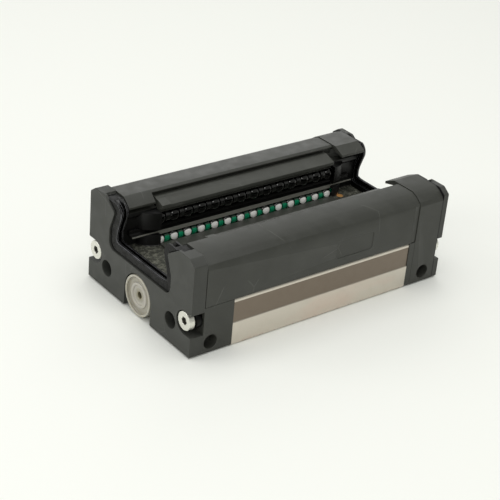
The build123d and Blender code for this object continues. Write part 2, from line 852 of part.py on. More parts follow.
nodes = {
    "saddle_block": saddle_block.part,
    "front_end_cap": front_end_cap,
    "rear_end_cap": rear_end_cap,
    "front_end_plate": front_end_plate,
    "rear_end_plate": rear_end_plate,
    "front_wiper_seal": front_wiper_seal,
    "rear_wiper_seal": rear_wiper_seal,
    "floor_retainer": floor_retainer.part,
    "front_grease_plug": front_grease_plug,
    "rear_grease_plug": rear_grease_plug,
    "end_screws": end_screws.part,
    "screw_collars": screw_collars.part,
    **side_covers,
    **seal_strips,
    **retainer_bars,
    **return_tubes,
    **turn_guides,
    **ball_circuits,
}

os.makedirs("parts", exist_ok=True)
for name, piece in nodes.items():
    piece.label = name
    export_step(piece, f"parts/{name}.step")
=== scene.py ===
import json
import math

import bmesh
import bpy
import numpy as np
from mathutils import Matrix, Vector


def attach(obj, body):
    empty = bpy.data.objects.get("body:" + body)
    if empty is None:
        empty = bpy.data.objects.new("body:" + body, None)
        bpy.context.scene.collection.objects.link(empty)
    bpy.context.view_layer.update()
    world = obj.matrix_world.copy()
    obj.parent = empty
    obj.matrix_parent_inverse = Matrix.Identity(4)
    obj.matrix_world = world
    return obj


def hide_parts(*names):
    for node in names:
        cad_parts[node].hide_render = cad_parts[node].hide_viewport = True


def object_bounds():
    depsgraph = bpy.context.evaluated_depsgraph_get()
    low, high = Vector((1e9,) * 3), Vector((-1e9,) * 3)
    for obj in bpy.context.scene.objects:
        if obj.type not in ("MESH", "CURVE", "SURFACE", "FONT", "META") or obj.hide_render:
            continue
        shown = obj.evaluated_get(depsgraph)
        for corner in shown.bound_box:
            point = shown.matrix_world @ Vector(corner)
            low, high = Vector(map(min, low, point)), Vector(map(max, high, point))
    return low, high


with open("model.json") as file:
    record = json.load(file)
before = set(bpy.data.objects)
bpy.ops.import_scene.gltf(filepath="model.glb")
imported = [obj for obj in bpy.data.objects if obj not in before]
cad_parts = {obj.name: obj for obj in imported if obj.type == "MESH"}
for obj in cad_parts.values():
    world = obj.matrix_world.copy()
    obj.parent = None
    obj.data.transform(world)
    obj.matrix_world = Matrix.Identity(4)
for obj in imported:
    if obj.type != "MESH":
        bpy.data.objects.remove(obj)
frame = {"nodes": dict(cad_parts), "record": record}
cad_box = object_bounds()

MM = 0.001
BODY = "root"
HALF_LENGTH = round(cad_box[1][0] / MM, 3)

# The photograph's view: where the camera looks from, in degrees and millimetres
CAMERA_AZIMUTH = -39.631
CAMERA_ELEVATION = 28.577
CAMERA_ROLL = 5.257
CAMERA_DISTANCE = 373.679
CAMERA_TARGET = (-8.239, -2.206, 11.600)
SENSOR_WIDTH = 36.0
FOCAL_LENGTH = 99.45
CLIP_RANGE = (0.01, 20.0)

# Lamps: place in millimetres, size in millimetres, strength in watts
LAMPS = {
    "top": ((0, 0, 700), 700, 2.7),
    "left": ((-620, 340, 300), 420, 1.2),
    "back": ((520, 720, 420), 700, 1.1),
    "key": ((-330, -400, 430), 130, 0.5),
}
# How bright the surround is for the object, where the camera sees it at 1
WORLD_LEVEL = 0.5
# Width of the square floor, in metres
FLOOR_SIZE = 6.0

# Finish colours, as seen in the photograph, with painted light and shade among them
BACKGROUND = (243, 244, 239)
BLACK_PLASTIC = (52, 53, 48)
PLATE_GREY = (54, 55, 51)
STRIP_GREY = (62, 63, 58)
GUIDE_WHITE = (214, 212, 200)
RUBBER = (15, 15, 14)
# painted shade on the rubber's end faces
RUBBER_SHADE = (7, 7, 6)
# painted glints along the rubber's edges
RUBBER_PAINTED_GLINT = (104, 104, 108)
STEEL = (210, 203, 191)
# the steel's upper band: a darker finish and painted darker reflection
STEEL_DARK = (124, 113, 101)
STEEL_SMEAR = (214, 190, 176)
RUST = (120, 78, 40)
BRIGHT_STEEL = (222, 221, 212)
SOCKET_SHADE = (62, 58, 48)
# painted highlight on the lower rows' balls
BALL_PAINTED_HIGHLIGHT = (250, 249, 245)
SPACER_GREEN = (6, 150, 104)
SPACER_SHADE = (0, 96, 64)
# the retainer bar's lip, painted as lit
BAR_LIT_GREY = (134, 134, 126)
# near black painted shade, and the balls' painted dark reflection
PAINTED_SHADE_BLACK = (17, 17, 15)
# dark green painted shade on the spacers
GREEN_IN_PAINTED_SHADE = (6, 40, 26)
# near black: dirt in the rear seam, and painted shade in the rail channel and at the screw collars
GRIME_AND_SHADE = (10, 10, 9)
# grease film on the channel floor, lightened as painted glints
GREASE_AND_GLINT_GREY = (124, 124, 112)
GREASE_AMBER = (196, 146, 88)
PLUG_GREY = (158, 153, 139)
PLUG_CLOUD = (140, 136, 122)
# painted highlight at the plug's rim
PLUG_RIM_HIGHLIGHT = (190, 186, 172)
# painted highlight ring on the plug
PLUG_RING_HIGHLIGHT = (186, 182, 173)
PLUG_MIDDLE = (126, 119, 88)
PLUG_HOLE = (58, 50, 20)

# How much lighter than the plastic its dusty patches and its scratches are
DUST_LIFT = 16
SCRATCH_LIFT = 28

# How textures are squeezed per axis: below one they run long on that axis
LONG_CELLS = (1.0, 1.6, 1.0)
LONG_SCUFFS = (0.06, 1.0, 1.0)
LONG_LINES = (0.03, 1.0, 1.0)
LONG_SMEARS = (0.35, 1.0, 1.0)

# Strengths of finishes: roughness that wet grease takes away, the coat of grease on rubber, the share of
# rust away from the foot, and how far light goes into the plug, in metres for red, green and blue
WET_GLOSS = 0.28
COAT_OF_GREASE = 0.8
RUST_ELSEWHERE = 0.05
PLUG_LIGHT_REACH = (0.002, 0.0018, 0.0012)

# Where the finishes change, in millimetres. A side is a distance from the middle plane along the rail,
# an end is one from the middle of the length, and a radius is one from the middle of what it names.
# The seam and the spot are places in the frame, and the others are heights.
REAR_SEAM_BAND = (40.8, 41.1)
CHANNEL_SIDE = 13.2
CHANNEL_FLOOR = 13.2
CHANNEL_FLOOR_LOW = 12.0
CHANNEL_ROOF = 23.3
STEEL_CHANNEL_SIDE = 13.4
STEEL_CHANNEL_LOW = 13.4
FOOT_TOP = 0.1
GROUND_BAND_TOP = 6.95
# the shelf band holds a painted highlight along the steel
SHELF_HIGHLIGHT_BAND = (12.75, 13.85)
SCREW_SIDE = 20.8
SCREW_HEIGHT = 9.7
SOCKET_RADIUS = 1.15
SOCKET_END = 42.45
COLLAR_END = 40.8
BAR_LIP_SIDE = 10.85
BAR_LIP_TOP = 17.1
LOWER_ROW_LOW = 13.0
BALL_GREEN_TOP = 14.4
SPACER_GREEN_TOP = 14.7
UPPER_ROW_LOW = 17.5
AMBER_SPOT = (33.6, 9.6, 13.0)
AMBER_RADIUS = 0.75
# The plug's middle, and the radii of the rings round it
PLUG_HEIGHT = 6.1
PLUG_HOLE_RADIUS = 0.85
PLUG_MIDDLE_RADIUS = 0.9
PLUG_RING_BAND = (2.2, 3.5)
PLUG_RIM_BAND = (5.25, 5.9)
# The painted highlight on the balls of the lower rows: its height and half height, and the lean it ends at
SPOT_HEIGHT = 14.25
SPOT_REACH = 0.95
SPOT_LEAN = 0.64

# Round forms that stand for the faceted ones, in millimetres
BALL_RADIUS = 1.985
BALL_RINGS = 14
BALL_STEPS = 28
SPACER_RADIUS = 1.66
SPACER_GAP = 0.03
SPACER_STEPS = 28
# Shares of a spacer's radius at which its cups have a corner
SPACER_CUP_SHARES = (0.0, 0.25, 0.5, 0.7, 0.85, 0.95)
# In the turns the balls stand nearer together, so their spacers are thinner and smaller
TURN_SPAN_STEP = 0.05
TURN_TRIM = 0.1
# Half the line that the wiper lip's rounded edge follows, as (across, height)
LIP_LINE = ((0.0, 15.75), (12.1, 15.75), (12.1, 19.0), (10.1, 24.7), (12.6, 26.7))
LIP_CORNER_CUT = 0.15
LIP_CORNER_CUTS = 3
LIP_RADIUS = 0.5
LIP_FROM_END = 1.0
LIP_SIDES = 10

# How far each node's sharp edges are rounded, in millimetres
EDGE_RADII = {
    "saddle_block": 0.08,
    "front_end_cap": 0.2, "rear_end_cap": 0.2,
    "front_end_plate": 0.15, "rear_end_plate": 0.15,
    "front_wiper_seal": 0.15, "rear_wiper_seal": 0.12,
    "side_cover_near": 0.3, "side_cover_far": 0.3,
    "seal_strip_near": 0.15, "seal_strip_far": 0.15,
    "retainer_bar_near": 0.12, "retainer_bar_far": 0.12,
    "floor_retainer": 0.08,
    "front_grease_plug": 0.2, "rear_grease_plug": 0.2,
    "end_screws": 0.2, "screw_collars": 0.15,
}
EDGE_SEGMENTS = 2
EDGE_ANGLE = math.radians(32.0)
FLAT_ANGLE = math.radians(1.0)
WELD_DISTANCE = 0.002
ROUND_WELD_DISTANCE = 0.001


def linear(colour):
    """Scene-linear colour with alpha from an 8-bit display colour."""
    parts = []
    for part in colour:
        share = part / 255
        parts.append(share / 12.92 if share <= 0.04045 else ((share + 0.055) / 1.055) ** 2.4)
    return (*parts, 1.0)


def lighter(colour, lift):
    """The colour with every part raised."""
    return tuple(part + lift for part in colour)


class Finish:
    """A node material under construction, with short ways to add the nodes that it needs."""

    def __init__(self, name, colour, roughness, metallic=0.0):
        self.material = bpy.data.materials.new(name)
        self.material.use_nodes = True
        self.tree = self.material.node_tree
        self.shader = self.tree.nodes["Principled BSDF"]
        self.set("Base Color", linear(colour))
        self.set("Roughness", roughness)
        self.set("Metallic", metallic)
        self.place = self.node("ShaderNodeTexCoord").outputs["Object"]
        self.relief = None

    def node(self, kind, **settings):
        made = self.tree.nodes.new(kind)
        for name, value in settings.items():
            setattr(made, name, value)
        return made

    def link(self, output, socket):
        self.tree.links.new(output, socket)

    def set(self, socket, value):
        self.shader.inputs[socket].default_value = value

    def steer(self, socket, value):
        """Lets a value from the nodes drive one of the shader's sockets."""
        self.link(value, self.shader.inputs[socket])

    def scaled_place(self, stretch):
        """Object coordinates multiplied per axis, so that a texture can run along one of them."""
        mapping = self.node("ShaderNodeMapping")
        mapping.inputs["Scale"].default_value = stretch
        self.link(self.place, mapping.inputs["Vector"])
        return mapping.outputs["Vector"]

    def noise(self, size_mm, detail=3.0, roughness=0.5, stretch=(1, 1, 1)):
        """Noise whose features are about the given size in millimetres."""
        noise = self.node("ShaderNodeTexNoise")
        noise.inputs["Scale"].default_value = 1 / (size_mm * MM)
        noise.inputs["Detail"].default_value = detail
        noise.inputs["Roughness"].default_value = roughness
        self.link(self.scaled_place(stretch), noise.inputs["Vector"])
        return noise.outputs["Fac"]

    def ramp(self, value, low, high, start=0.0, end=1.0):
        """Straight ramp of a value, clamped to its ends."""
        ramp = self.node("ShaderNodeMapRange")
        ramp.inputs["From Min"].default_value = low
        ramp.inputs["From Max"].default_value = high
        ramp.inputs["To Min"].default_value = start
        ramp.inputs["To Max"].default_value = end
        self.link(value, ramp.inputs["Value"])
        return ramp.outputs["Result"]

    def patches(self, size_mm, low, high, start=0.0, end=1.0, **settings):
        """Noise made into patches: start where it is under low and end where it is over high."""
        return self.ramp(self.noise(size_mm, **settings), low, high, start, end)

    def maths(self, operation, first, second=0):
        made = self.node("ShaderNodeMath", operation=operation)
        for socket, value in zip(made.inputs, (first, second)):
            if isinstance(value, (int, float)):
                socket.default_value = value
            else:
                self.link(value, socket)
        return made.outputs["Value"]

    def times(self, first, second):
        return self.maths("MULTIPLY", first, second)

    def unsigned(self, value):
        return self.maths("ABSOLUTE", value)

    def axis(self, name):
        """One coordinate of the surface, in metres."""
        split = self.node("ShaderNodeSeparateXYZ")
        self.link(self.place, split.inputs["Vector"])
        return split.outputs[name]

    def across(self):
        """Distance from the middle plane along the rail, in metres."""
        return self.unsigned(self.axis("Y"))

    def along(self):
        """Distance from the middle of the length, in metres."""
        return self.unsigned(self.axis("X"))

    def facing(self, name, normal="Normal"):
        """Part of the surface's normal that lies along an axis."""
        split = self.node("ShaderNodeSeparateXYZ")
        self.link(self.node("ShaderNodeNewGeometry").outputs[normal], split.inputs["Vector"])
        return split.outputs[name]

    def above(self, value, limit_mm, blur_mm, start=0.0, end=1.0):
        """Goes from start to end over the blur under a limit, and stays at end above the limit."""
        return self.ramp(value, (limit_mm - blur_mm) * MM, limit_mm * MM, start, end)

    def below(self, value, limit_mm, blur_mm, start=0.0, end=1.0):
        """Goes from start to end over the blur over a limit, and stays at end below the limit."""
        return self.ramp(value, (limit_mm + blur_mm) * MM, limit_mm * MM, start, end)

    def between(self, value, low_mm, high_mm, blur_mm=0.15):
        """One between two places and zero outside them, with soft edges."""
        return self.times(self.above(value, low_mm, blur_mm), self.below(value, high_mm, blur_mm))

    def distance_from(self, x=None, y=None, z=None, mirrored=False):
        """Distance in metres from a point, or from a line where one of its coordinates is left out."""
        total = 0
        for name, place in (("X", x), ("Y", y), ("Z", z)):
            if place is not None:
                coordinate = self.across() if mirrored and name == "Y" else self.axis(name)
                offset = self.maths("SUBTRACT", coordinate, place * MM)
                total = self.maths("ADD", total, self.times(offset, offset))
        return self.maths("SQRT", total)

    def tint(self, share, colour, strength=None):
        """Lays a colour over the finish where share is high, thinner where a strength under one is given."""
        if strength is not None:
            share = self.times(share, strength)
        mix = self.node("ShaderNodeMix", data_type="RGBA")
        base = self.shader.inputs["Base Color"]
        under, over = [socket for socket in mix.inputs if socket.type == "RGBA"]
        if base.is_linked:
            self.link(base.links[0].from_socket, under)
        else:
            under.default_value = base.default_value
        over.default_value = linear(colour)
        self.link(share, mix.inputs["Factor"])
        mixed = next(socket for socket in mix.outputs if socket.type == "RGBA")
        self.link(mixed, base)

    def emboss(self, height, depth_mm, strength=1.0):
        """Adds relief of the given depth to the surface."""
        bump = self.node("ShaderNodeBump")
        bump.inputs["Distance"].default_value = depth_mm * MM
        bump.inputs["Strength"].default_value = strength
        self.link(height, bump.inputs["Height"])
        if self.relief is not None:
            self.link(self.relief, bump.inputs["Normal"])
        self.relief = bump.outputs["Normal"]
        self.steer("Normal", self.relief)

    def scratches(self, spacing_mm, width, share, colour):
        """Sparse thin curved scratches: the borders of cells, shown only in patches."""
        cells = self.node("ShaderNodeTexVoronoi", feature="DISTANCE_TO_EDGE")
        cells.inputs["Scale"].default_value = 1 / (spacing_mm * MM)
        self.link(self.scaled_place(LONG_CELLS), cells.inputs["Vector"])
        line = self.ramp(cells.outputs["Distance"], low=width, high=width * 0.4)
        patch = self.patches(spacing_mm * 0.8, low=share, high=share + 0.04, detail=1.0)
        drawn = self.times(line, patch)
        self.tint(drawn, colour, strength=0.5)
        self.emboss(drawn, depth_mm=-0.02)


def moulded(name, colour, roughness, grain_mm=0.35, channel_shade_and_grease=False):
    """Moulded plastic: fine grain, uneven sheen, scuffs along the rail, dusty patches and scratches.

    Dirt lies in the seam at the rear plate. Where asked, the inside of the rail channel is painted near
    black as shade, and its floor has a speckled film of grease, lightened as painted glints, with one amber
    spot.
    """
    finish = Finish(name, colour, roughness)
    finish.set("Specular IOR Level", 0.42)
    grain = finish.noise(grain_mm, detail=4.0, roughness=0.6)
    finish.emboss(grain, depth_mm=0.012)
    waves = finish.noise(size_mm=9.0, detail=2.0)
    finish.emboss(waves, depth_mm=0.05)
    scuffs = finish.patches(size_mm=0.5, low=0.66, high=0.74, detail=2.0, stretch=LONG_SCUFFS)
    finish.emboss(scuffs, depth_mm=0.01, strength=0.5)
    dust = finish.patches(size_mm=6.0, low=0.45, high=0.75, end=0.5, detail=6.0, roughness=0.65)
    finish.tint(dust, lighter(colour, DUST_LIFT))
    finish.scratches(spacing_mm=14.0, width=0.010, share=0.58, colour=lighter(colour, SCRATCH_LIFT))
    seam = finish.between(finish.axis("X"), *REAR_SEAM_BAND, blur_mm=0.08)
    finish.tint(seam, GRIME_AND_SHADE)
    smoother, rougher = roughness - 0.07, roughness + 0.09
    gloss = finish.patches(size_mm=3.0, low=0.3, high=0.7, start=smoother, end=rougher, detail=5.0)
    if channel_shade_and_grease:
        height = finish.axis("Z")
        inside = finish.below(finish.across(), CHANNEL_SIDE, blur_mm=0.3)
        shaded_walls = finish.times(inside, finish.between(height, CHANNEL_FLOOR, CHANNEL_ROOF))
        # painted shade: the channel's walls and roof are tinted near black where light does not reach
        finish.tint(shaded_walls, GRIME_AND_SHADE)
        floor = finish.times(inside, finish.between(height, CHANNEL_FLOOR_LOW, CHANNEL_FLOOR))
        lumps = finish.noise(size_mm=1.1, detail=4.0, roughness=0.6)
        finish.emboss(finish.times(lumps, floor), depth_mm=0.35)
        grease_and_glint_speckles = finish.ramp(lumps, low=0.45, high=0.7, start=0.1, end=0.8)
        # grease speckles on the floor, their light grey partly grease and partly painted glints
        finish.tint(finish.times(floor, grease_and_glint_speckles), GREASE_AND_GLINT_GREY)
        spot = finish.below(finish.distance_from(*AMBER_SPOT), AMBER_RADIUS, blur_mm=0.4)
        finish.tint(spot, GREASE_AMBER)
        gloss = finish.maths("SUBTRACT", gloss, finish.times(floor, WET_GLOSS))
    finish.steer("Roughness", gloss)
    return finish.material


def ground_steel():
    """Ground steel: fine lines along the rail, bright at its foot, a painted highlight along its shelf,
    darker elsewhere as finish and as painted reflection, smears, rust at its foot, and painted shade in the
    channel.
    """
    finish = Finish("ground_steel", STEEL, roughness=0.36, metallic=0.8)
    lines = finish.noise(size_mm=0.12, detail=2.0, stretch=LONG_LINES)
    finish.emboss(lines, depth_mm=0.004)
    smears = finish.patches(size_mm=7.0, low=0.5, high=0.72, end=0.4, detail=4.0, stretch=LONG_SMEARS)
    finish.tint(smears, STEEL_SMEAR)
    height = finish.axis("Z")
    # above the foot band the steel is darker, both as a different finish and as painted darker reflection
    finish.tint(finish.above(height, GROUND_BAND_TOP, blur_mm=0.35), STEEL_DARK)
    # painted highlight: a bright line along the shelf, where its chamfer catches the light
    finish.tint(finish.between(height, *SHELF_HIGHLIGHT_BAND, blur_mm=0.08), STEEL)
    stain = finish.noise(size_mm=2.4, detail=6.0, roughness=0.7)
    foot = finish.below(height, FOOT_TOP, blur_mm=0.8)
    blots = finish.ramp(stain, low=0.5, high=0.72, end=0.7)
    finish.tint(finish.times(blots, finish.maths("ADD", foot, RUST_ELSEWHERE)), RUST)
    # painted shade: the steel inside the rail channel is tinted near black
    inside = finish.times(finish.below(finish.across(), STEEL_CHANNEL_SIDE, blur_mm=0.3),
                          finish.above(height, STEEL_CHANNEL_LOW, blur_mm=0.3))
    finish.tint(inside, PAINTED_SHADE_BLACK)
    finish.steer("Roughness", finish.ramp(stain, low=0.3, high=0.75, start=0.3, end=0.46))
    return finish.material


def plated_screw():
    """Bright plated screws with fine turning marks, painted shade in their sockets and at the collars' roots.
    """
    finish = Finish("screw_steel", BRIGHT_STEEL, roughness=0.3, metallic=0.75)
    marks = finish.noise(size_mm=0.15, detail=2.0)
    finish.emboss(marks, depth_mm=0.002)
    gloss = finish.patches(size_mm=1.1, low=0.35, high=0.75, start=0.22, end=0.46, detail=4.0)
    finish.steer("Roughness", gloss)
    along = finish.along()
    from_axis = finish.distance_from(y=SCREW_SIDE, z=SCREW_HEIGHT, mirrored=True)
    socket = finish.times(finish.below(from_axis, SOCKET_RADIUS, blur_mm=0.1),
                          finish.below(along, SOCKET_END, blur_mm=0.1))
    # painted shade in each screw's socket
    finish.tint(socket, SOCKET_SHADE, strength=0.85)
    # painted shade: the screws and collars are tinted near black nearer the middle than the collars' ends
    finish.tint(finish.below(along, COLLAR_END, blur_mm=0.4), GRIME_AND_SHADE)
    return finish.material


def ball_in_painted_shade():
    """Polished balls painted near black as dark reflection and shade. The lower row's show a painted
    highlight, and green beside the spacers.
    """
    # the balls' near black colour is painted dark reflection and shade
    finish = Finish("ball_steel", PAINTED_SHADE_BLACK, roughness=0.2, metallic=1.0)
    finish.set("Coat Weight", 0.8)
    finish.set("Coat Roughness", 0.06)
    film = finish.noise(size_mm=0.6, detail=2.0)
    finish.emboss(film, depth_mm=0.003)
    height = finish.axis("Z")
    lean = finish.unsigned(finish.facing("X"))
    # painted highlight: a white, less metallic spot on the lower rows' balls where they catch the light
    rise_share = finish.maths("DIVIDE", finish.maths("SUBTRACT", height, SPOT_HEIGHT * MM), SPOT_REACH * MM)
    lean_share = finish.maths("DIVIDE", lean, SPOT_LEAN)
    rise_square = finish.times(rise_share, rise_share)
    from_spot = finish.maths("ADD", rise_square, finish.times(lean_share, lean_share))
    painted_highlight = finish.ramp(from_spot, low=1.1, high=0.85)
    finish.tint(painted_highlight, BALL_PAINTED_HIGHLIGHT)
    shown = finish.between(height, LOWER_ROW_LOW, BALL_GREEN_TOP, blur_mm=0.2)
    flank = finish.ramp(lean, low=0.5, high=0.62)
    finish.tint(finish.times(shown, flank), SPACER_GREEN)
    finish.steer("Metallic", finish.ramp(painted_highlight, low=0.0, high=1.0, start=1.0, end=0.0))
    finish.steer("Roughness", finish.above(height, UPPER_ROW_LOW, blur_mm=1.5, start=0.26, end=0.14))
    return finish.material


def bar_in_painted_shade():
    """Retainer bar: its lower lip is painted grey as lit, the rest painted black as shade."""
    finish = Finish("bar_metal", PAINTED_SHADE_BLACK, roughness=0.4, metallic=0.3)
    # painted light and shade: the lower lip is tinted grey as lit, the rest keeps the near black of painted
    # shade
    lip = finish.times(finish.below(finish.across(), BAR_LIP_SIDE, blur_mm=0.15),
                       finish.below(finish.axis("Z"), BAR_LIP_TOP, blur_mm=0.2))
    finish.tint(lip, BAR_LIT_GREY)
    grain = finish.noise(size_mm=0.4, detail=3.0)
    finish.emboss(grain, depth_mm=0.01)
    gloss = finish.patches(size_mm=1.5, low=0.35, high=0.7, start=0.3, end=0.5, detail=4.0)
    finish.steer("Roughness", gloss)
    return finish.material


def greasy_rubber():
    """Black rubber, painted darker as shade and dull where it faces the ends, dull where it faces up and
    greasy elsewhere, with painted glints on its edges.
    """
    finish = Finish("seal_rubber", RUBBER, roughness=0.34)
    finish.set("Specular IOR Level", 0.12)
    finish.set("Coat Roughness", 0.14)
    facing_end = finish.unsigned(finish.facing("X", "True Normal"))
    # painted shade: the faces towards the ends are tinted darker
    finish.tint(finish.ramp(facing_end, low=0.75, high=0.9), RUBBER_SHADE)
    greased = finish.times(finish.ramp(facing_end, low=0.9, high=0.7),
                           finish.ramp(finish.facing("Z", "True Normal"), low=0.95, high=0.8))
    finish.steer("Coat Weight", finish.times(greased, COAT_OF_GREASE))
    lean = finish.unsigned(finish.facing("X"))
    edge = finish.times(finish.ramp(lean, low=0.3, high=0.45), finish.ramp(lean, low=0.8, high=0.6))
    glints = finish.patches(size_mm=3.0, low=0.35, high=0.65, start=0.25, end=0.95)
    # painted highlight: thin glint lines tinted along the rounded edges
    finish.tint(finish.times(edge, glints), RUBBER_PAINTED_GLINT)
    lumps = finish.noise(size_mm=0.7, detail=4.0, roughness=0.6)
    finish.emboss(lumps, depth_mm=0.05)
    gloss = finish.patches(size_mm=1.6, low=0.35, high=0.7, start=0.16, end=0.5, detail=5.0)
    finish.steer("Roughness", gloss)
    return finish.material


def plug_plastic():
    """Pale translucent plastic, greasy, with painted highlight rings round a small dark hole and a yellowish
    middle.
    """
    finish = Finish("plug_plastic", PLUG_GREY, roughness=0.3)
    finish.set("Subsurface Weight", 0.25)
    finish.set("Subsurface Radius", PLUG_LIGHT_REACH)
    finish.set("Coat Weight", 0.3)
    finish.set("Coat Roughness", 0.15)
    clouds = finish.patches(size_mm=2.2, low=0.4, high=0.7, end=0.5, detail=4.0)
    finish.tint(clouds, PLUG_CLOUD)
    from_axis = finish.distance_from(y=0.0, z=PLUG_HEIGHT)
    # painted highlights: a bright band at the rim and a bright ring inside it
    finish.tint(finish.between(from_axis, *PLUG_RIM_BAND, blur_mm=0.2), PLUG_RIM_HIGHLIGHT, strength=0.5)
    finish.tint(finish.between(from_axis, *PLUG_RING_BAND, blur_mm=0.4), PLUG_RING_HIGHLIGHT, strength=0.6)
    finish.tint(finish.below(from_axis, PLUG_MIDDLE_RADIUS, blur_mm=0.8, end=0.75), PLUG_MIDDLE)
    finish.tint(finish.below(from_axis, PLUG_HOLE_RADIUS, blur_mm=0.1, end=0.8), PLUG_HOLE)
    lumps = finish.noise(size_mm=0.8, detail=3.0)
    finish.emboss(lumps, depth_mm=0.02)
    return finish.material


def spacer_plastic():
    """Green plastic: saturated where the lower row shows in its slot, painted dark as shade elsewhere."""
    # the dark green base is painted shade; the lower rows' slot shows the plastic's own green
    finish = Finish("spacer_plastic", GREEN_IN_PAINTED_SHADE, roughness=0.28)
    finish.set("Coat Weight", 0.3)
    finish.set("Coat Roughness", 0.1)
    height = finish.axis("Z")
    finish.tint(finish.between(height, LOWER_ROW_LOW, SPACER_GREEN_TOP, blur_mm=0.25), SPACER_GREEN)
    finish.tint(finish.patches(size_mm=0.9, low=0.4, high=0.7, end=0.35), SPACER_SHADE)
    # painted shade: the upper rows' spacers are tinted near black
    finish.tint(finish.above(height, UPPER_ROW_LOW, blur_mm=1.0), PAINTED_SHADE_BLACK)
    return finish.material


MATERIALS = {
    "ground_steel": ground_steel(),
    "cap_plastic": moulded("cap_plastic", BLACK_PLASTIC, 0.46, channel_shade_and_grease=True),
    "cover_plastic": moulded("cover_plastic", BLACK_PLASTIC, 0.44),
    "plate_plastic": moulded("plate_plastic", PLATE_GREY, 0.52, grain_mm=0.25),
    "strip_plastic": moulded("strip_plastic", STRIP_GREY, 0.4),
    "seal_rubber": greasy_rubber(),
    "bar_metal": bar_in_painted_shade(),
    "plug_plastic": plug_plastic(),
    "screw_steel": plated_screw(),
    "guide_plastic": moulded("guide_plastic", GUIDE_WHITE, 0.4),
    "ball_steel": ball_in_painted_shade(),
    "spacer_plastic": spacer_plastic(),
}
SLOTS = {part["node"]: part["material_slot"] for part in frame["record"]["subparts"]}


def dress(piece, slot):
    """Gives a piece the one finish of its slot."""
    piece.data.materials.clear()
    piece.data.materials.append(MATERIALS[slot])


def piece_from(name, mesh, slot, *replaced):
    """Adds a mesh as a piece that rides on the body and stands for the CAD nodes named."""
    piece = bpy.data.objects.new(name, mesh)
    bpy.context.scene.collection.objects.link(piece)
    dress(piece, slot)
    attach(piece, BODY)
    if replaced:
        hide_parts(*replaced)
    return piece


def cad_shape(node):
    """The CAD node's mesh as a bmesh with its doubled corners joined."""
    shape = bmesh.new()
    shape.from_mesh(frame["nodes"][node].data)
    bmesh.ops.remove_doubles(shape, verts=shape.verts, dist=WELD_DISTANCE * MM)
    return shape


def softened(node, radius_mm):
    """Stands for a CAD node with the same shape, its sharp edges rounded as a mould or a tool leaves them."""
    shape = cad_shape(node)
    bmesh.ops.dissolve_limit(shape, angle_limit=FLAT_ANGLE, verts=shape.verts, edges=shape.edges)
    mesh = bpy.data.meshes.new(node + "_soft")
    shape.to_mesh(mesh)
    shape.free()
    piece = piece_from(node + "_soft", mesh, SLOTS[node], node)
    bevel = piece.modifiers.new("edge", "BEVEL")
    bevel.width = radius_mm * MM
    bevel.segments = EDGE_SEGMENTS
    bevel.limit_method = "ANGLE"
    bevel.angle_limit = EDGE_ANGLE
    mesh.shade_smooth()
    mesh.set_sharp_from_angle(angle=EDGE_ANGLE)


def solid_centres(node):
    """Centre of each separate solid in a CAD node."""
    shape = cad_shape(node)
    seen = set()
    centres = []
    for start in shape.verts:
        if start in seen:
            continue
        island = [start]
        seen.add(start)
        for vert in island:
            for edge in vert.link_edges:
                other = edge.other_vert(vert)
                if other not in seen:
                    seen.add(other)
                    island.append(other)
        corners = np.array([vert.co for vert in island])
        centres.append(Vector((corners.min(0) + corners.max(0)) / 2))
    shape.free()
    return centres


def turned(profile, steps):
    """Corners and faces of a profile turned about X. The profile gives (place along X, radius)."""
    corners = []
    faces = []
    for step in range(steps):
        angle = 2 * math.pi * step / steps
        corners += [(x, radius * math.cos(angle), radius * math.sin(angle)) for x, radius in profile]
    rows = len(profile)
    for step in range(steps):
        here, ahead = step * rows, (step + 1) % steps * rows
        for row in range(rows - 1):
            faces.append((here + row, here + row + 1, ahead + row + 1, ahead + row))
    return corners, faces


def joined(shapes):
    """Corners and faces of several shapes as those of one."""
    corners = []
    faces = []
    for shape_corners, shape_faces in shapes:
        first = len(corners)
        corners += shape_corners
        faces += [tuple(first + index for index in face) for face in shape_faces]
    return corners, faces


def repeated(corners, faces, places):
    """Corners and faces of one shape set at every place."""
    return joined([([place @ Vector(corner) for corner in corners], faces) for place in places])


def round_mesh(name, corners, faces):
    """Smooth mesh with its doubled corners joined and its faces turned outwards."""
    mesh = bpy.data.meshes.new(name)
    mesh.from_pydata(corners, [], faces)
    shape = bmesh.new()
    shape.from_mesh(mesh)
    bmesh.ops.remove_doubles(shape, verts=shape.verts, dist=ROUND_WELD_DISTANCE * MM)
    bmesh.ops.recalc_face_normals(shape, faces=shape.faces)
    shape.to_mesh(mesh)
    shape.free()
    mesh.shade_smooth()
    return mesh


def round_balls(node):
    """Round balls at the places of the circuit's faceted ones."""
    profile = []
    for ring in range(BALL_RINGS + 1):
        angle = math.pi * ring / BALL_RINGS
        profile.append((-BALL_RADIUS * MM * math.cos(angle), BALL_RADIUS * MM * math.sin(angle)))
    centres = solid_centres(node)
    places = [Matrix.Translation(centre) for centre in centres]
    corners, faces = repeated(*turned(profile, BALL_STEPS), places)
    name = node + "_round"
    piece_from(name, round_mesh(name, corners, faces), SLOTS[node], node)
    return centres


def spacer_profile(span, outer):
    """Half section of a spacer: a thin web, a cup for each ball and a rounded rim."""
    profile = []
    for share in SPACER_CUP_SHARES:
        radius = outer * share
        depth = span / 2 - math.sqrt((BALL_RADIUS + SPACER_GAP) ** 2 - radius**2)
        profile.append((-depth * MM, radius * MM))
    rim = -profile[-1][0]
    profile.append((-rim * 0.97, outer * 0.99 * MM))
    profile.append((-rim * 0.85, outer * MM))
    return profile + [(-x, radius) for x, radius in reversed(profile)]


